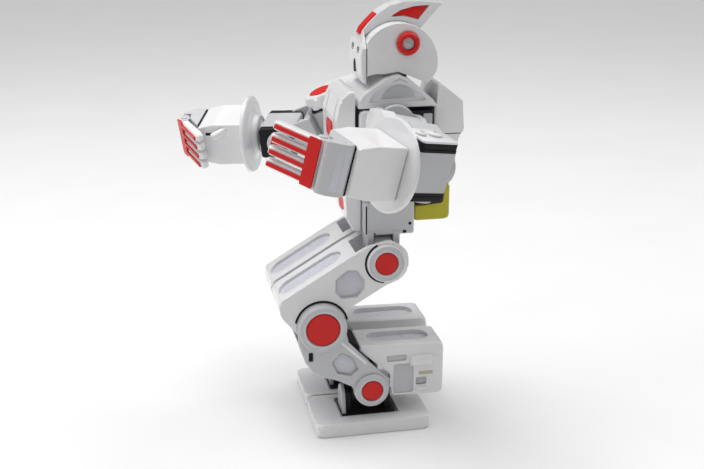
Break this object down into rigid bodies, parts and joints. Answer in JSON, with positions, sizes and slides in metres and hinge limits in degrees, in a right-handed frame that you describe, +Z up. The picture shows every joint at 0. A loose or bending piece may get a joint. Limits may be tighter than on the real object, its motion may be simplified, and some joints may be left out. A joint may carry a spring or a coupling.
{
  "type": "walking humanoid robot",
  "caption": "Hobby walking humanoid robot in white, grey and red plastic: crested head, arms with cuff guards and finger combs, crouched legs with boxed calves and flat feet.",
  "frame": {"origin": "middle of the bounding box in X and Y, at floor level under the soles", "axes": "+Z up, the robot faces -Y, its left side is at +X"},
  "size_m": [0.3084, 0.216, 0.3414],
  "materials": {
    "white_plastic": "gloss",
    "light_grey_plastic": "satin",
    "grey_case": "satin",
    "black_servo": "matte",
    "red_plastic": "gloss",
    "yellow_plastic": "satin"
  },
  "bodies": {
    "torso": {"torso_frame": "black_servo", "pelvis_frame": "light_grey_plastic", "chest_cover": "white_plastic", "chest_badge": "red_plastic", "belly_cover": "white_plastic", "belly_badge": "red_plastic", "shoulder_collar": "white_plastic", "neck_servo": "black_servo", "side_panel_left": "white_plastic", "side_panel_right": "white_plastic", "backpack": "white_plastic", "battery_tray": "yellow_plastic", "battery_pack": "black_servo"},
    "head": {"head_shell": "white_plastic", "ear_ring_left": "red_plastic", "ear_ring_right": "red_plastic", "face_plate": "white_plastic", "crest_fin": "white_plastic"},
    "switch": {"power_switch": "red_plastic"},
    "shoulder_left": {"shoulder_yoke_left": "light_grey_plastic"},
    "upper_arm_left": {"upper_arm_core_left": "light_grey_plastic", "upper_arm_cover_left": "white_plastic", "upper_arm_cap_left": "red_plastic"},
    "elbow_left": {"elbow_case_left": "grey_case"},
    "forearm_left": {"arm_guard_left": "white_plastic", "forearm_shell_left": "white_plastic", "palm_block_left": "light_grey_plastic", "finger_comb_left": "white_plastic", "finger_trim_left": "red_plastic"},
    "hip_left": {"hip_block_left": "light_grey_plastic"},
    "thigh_left": {"thigh_shell_left": "white_plastic", "hip_cap_left": "red_plastic"},
    "shank_left": {"shank_frame_left": "light_grey_plastic", "knee_cap_left": "red_plastic", "ankle_cap_left": "red_plastic", "calf_box_left": "white_plastic"},
    "ankle_left": {"ankle_block_left": "black_servo"},
    "foot_left": {"foot_plate_left": "white_plastic", "foot_yoke_left": "black_servo"},
    "shoulder_right": {"shoulder_yoke_right": "light_grey_plastic"},
    "upper_arm_right": {"upper_arm_core_right": "light_grey_plastic", "upper_arm_cover_right": "white_plastic", "upper_arm_cap_right": "red_plastic"},
    "elbow_right": {"elbow_case_right": "grey_case"},
    "forearm_right": {"arm_guard_right": "white_plastic", "forearm_shell_right": "white_plastic", "palm_block_right": "light_grey_plastic", "finger_comb_right": "white_plastic", "finger_trim_right": "red_plastic"},
    "hip_right": {"hip_block_right": "light_grey_plastic"},
    "thigh_right": {"thigh_shell_right": "white_plastic", "hip_cap_right": "red_plastic"},
    "shank_right": {"shank_frame_right": "light_grey_plastic", "knee_cap_right": "red_plastic", "ankle_cap_right": "red_plastic", "calf_box_right": "white_plastic"},
    "ankle_right": {"ankle_block_right": "black_servo"},
    "foot_right": {"foot_plate_right": "white_plastic", "foot_yoke_right": "black_servo"}
  },
  "joints": [
    {"name": "head_yaw", "type": "hinge", "parent": "torso", "child": "head", "pos_m": [-0.02209, 0.05476, 0.285], "axis": [0, 0, 1], "range_deg": [-11, 11]},
    {"name": "power_switch_slide", "type": "slide", "parent": "torso", "child": "switch", "axis": [1, 0, 0], "range_m": [0, 0.0074]},
    {"name": "shoulder_pitch_left", "type": "hinge", "parent": "torso", "child": "shoulder_left", "pos_m": [0.02841, 0.04976, 0.253], "axis": [-1, 0, 0], "range_deg": [-30, 30]},
    {"name": "shoulder_roll_left", "type": "hinge", "parent": "shoulder_left", "child": "upper_arm_left", "pos_m": [0.02841, 0.04976, 0.253], "axis": [0, -0.9744, 0.225], "range_deg": [-45, 6]},
    {"name": "elbow_flex_left", "type": "hinge", "parent": "upper_arm_left", "child": "elbow_left", "pos_m": [0.10996, 0.04783, 0.24465], "axis": [-0.1045, -0.2237, -0.969], "range_deg": [-45, 10]},
    {"name": "forearm_turn_left", "type": "hinge", "parent": "elbow_left", "child": "forearm_left", "pos_m": [0.10996, 0.04783, 0.24465], "axis": [-0.3564, 0.9181, -0.1735], "range_deg": [-80, 15]},
    {"name": "hip_roll_left", "type": "hinge", "parent": "torso", "child": "hip_left", "pos_m": [0.00341, 0.04176, 0.15], "axis": [0, -1, 0], "range_deg": [0, 14]},
    {"name": "hip_pitch_left", "type": "hinge", "parent": "hip_left", "child": "thigh_left", "pos_m": [0.00341, 0.04176, 0.143], "axis": [-1, 0, 0], "range_deg": [-20, 24]},
    {"name": "knee_flex_left", "type": "hinge", "parent": "thigh_left", "child": "shank_left", "pos_m": [0.00341, -0.01024, 0.093], "axis": [1, 0, 0], "range_deg": [-32, 30]},
    {"name": "ankle_pitch_left", "type": "hinge", "parent": "shank_left", "child": "ankle_left", "pos_m": [0.00341, 0.02976, 0.036], "axis": [-1, 0, 0], "range_deg": [-12, 12]},
    {"name": "ankle_roll_left", "type": "hinge", "parent": "ankle_left", "child": "foot_left", "pos_m": [0.00341, 0.02976, 0.024], "axis": [0, -1, 0], "range_deg": [0, 7]},
    {"name": "shoulder_pitch_right", "type": "hinge", "parent": "torso", "child": "shoulder_right", "pos_m": [-0.07259, 0.04976, 0.253], "axis": [-1, 0, 0], "range_deg": [-20, 36]},
    {"name": "shoulder_roll_right", "type": "hinge", "parent": "shoulder_right", "child": "upper_arm_right", "pos_m": [-0.07259, 0.04976, 0.253], "axis": [0, 0.4384, -0.8988], "range_deg": [-20, 20]},
    {"name": "elbow_flex_right", "type": "hinge", "parent": "upper_arm_right", "child": "elbow_right", "pos_m": [-0.10594, -0.01757, 0.22016], "axis": [-0.9135, 0.3656, 0.1783], "range_deg": [-20, 55]},
    {"name": "forearm_turn_right", "type": "hinge", "parent": "elbow_right", "child": "forearm_right", "pos_m": [-0.10594, -0.01757, 0.22016], "axis": [-0.381, -0.9226, -0.0603], "range_deg": [-15, 80]},
    {"name": "hip_roll_right", "type": "hinge", "parent": "torso", "child": "hip_right", "pos_m": [-0.04759, 0.04176, 0.15], "axis": [0, 1, 0], "range_deg": [0, 14]},
    {"name": "hip_pitch_right", "type": "hinge", "parent": "hip_right", "child": "thigh_right", "pos_m": [-0.04759, 0.04176, 0.143], "axis": [-1, 0, 0], "range_deg": [-20, 24]},
    {"name": "knee_flex_right", "type": "hinge", "parent": "thigh_right", "child": "shank_right", "pos_m": [-0.04759, -0.01024, 0.093], "axis": [1, 0, 0], "range_deg": [-32, 30]},
    {"name": "ankle_pitch_right", "type": "hinge", "parent": "shank_right", "child": "ankle_right", "pos_m": [-0.04759, 0.02976, 0.036], "axis": [-1, 0, 0], "range_deg": [-12, 12]},
    {"name": "ankle_roll_right", "type": "hinge", "parent": "ankle_right", "child": "foot_right", "pos_m": [-0.04759, 0.02976, 0.024], "axis": [0, 1, 0], "range_deg": [0, 7]}
  ]
}
